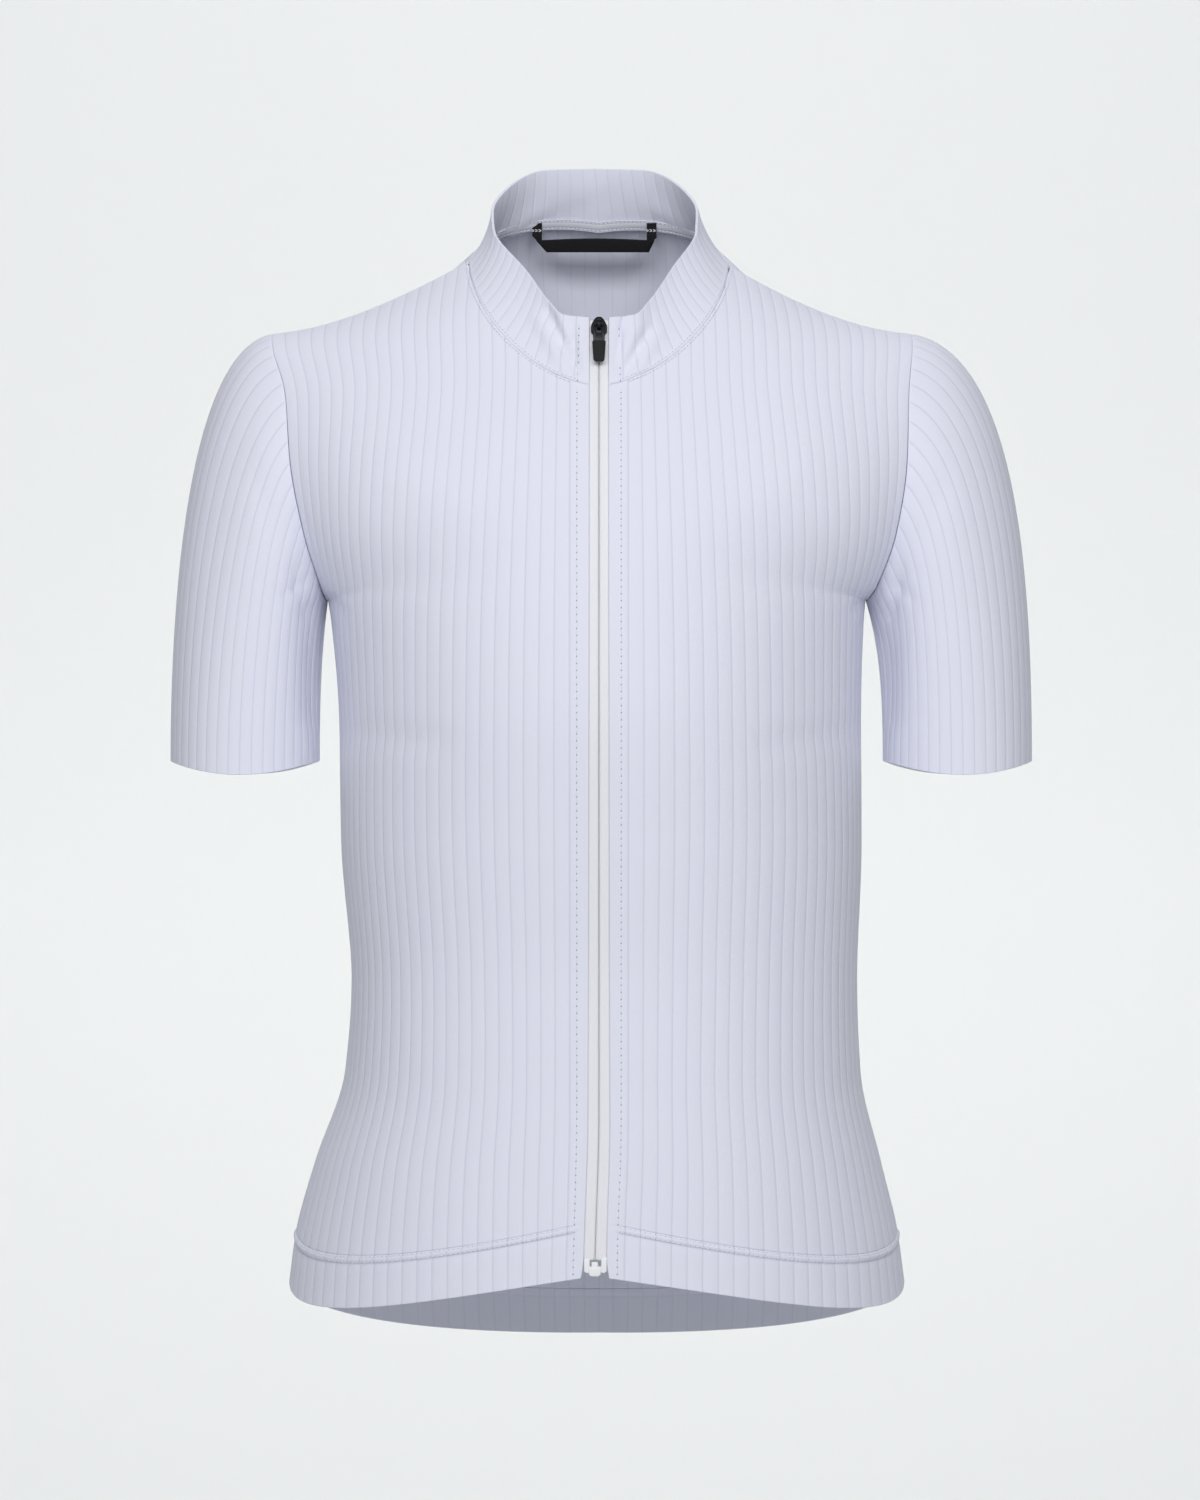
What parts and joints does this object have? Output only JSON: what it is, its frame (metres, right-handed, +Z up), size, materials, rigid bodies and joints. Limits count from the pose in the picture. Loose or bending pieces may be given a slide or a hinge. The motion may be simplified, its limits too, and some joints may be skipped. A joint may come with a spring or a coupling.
{
  "type": "cycling jersey",
  "caption": "Short-sleeve rib-knit cycling jersey with a stand collar, full-length front zip, hem band and rear pocket panel, filled out with no wearer.",
  "frame": {"origin": "middle of the neck base, level with the shoulder points of the neck seam, where the wearer's shoulders hold the jersey up", "axes": "+Z up, the front with the zip faces -Y, and +X is the wearer's left"},
  "size_m": [0.4833, 0.2369, 0.6706],
  "materials": {
    "knit": "white rib knit",
    "webbing": "black woven tape",
    "zip_tape": "white woven tape",
    "zip_plastic": "white moulded plastic",
    "gunmetal": "black coated metal",
    "tab_rubber": "black moulded rubber"
  },
  "bodies": {
    "jersey": {"front_right": "knit", "front_left": "knit", "back": "knit", "sleeve_right": "knit", "sleeve_left": "knit", "collar": "knit", "hem_band_right": "knit", "hem_band_left": "knit", "hem_band_back": "knit", "pocket_panel": "knit", "neck_tape": "knit", "hang_loop": "webbing", "zip_tape_right": "zip_tape", "zip_tape_left": "zip_tape", "zip_box": "zip_plastic", "zip_slider": "gunmetal"},
    "tab": {"pull_tab": "tab_rubber"}
  },
  "joints": [
    {"name": "pull_tab", "type": "hinge", "parent": "jersey", "child": "tab", "pos_m": [0, -0.06673, -0.0401], "axis": [-1, 0, 0], "range_deg": [0, 170]}
  ]
}
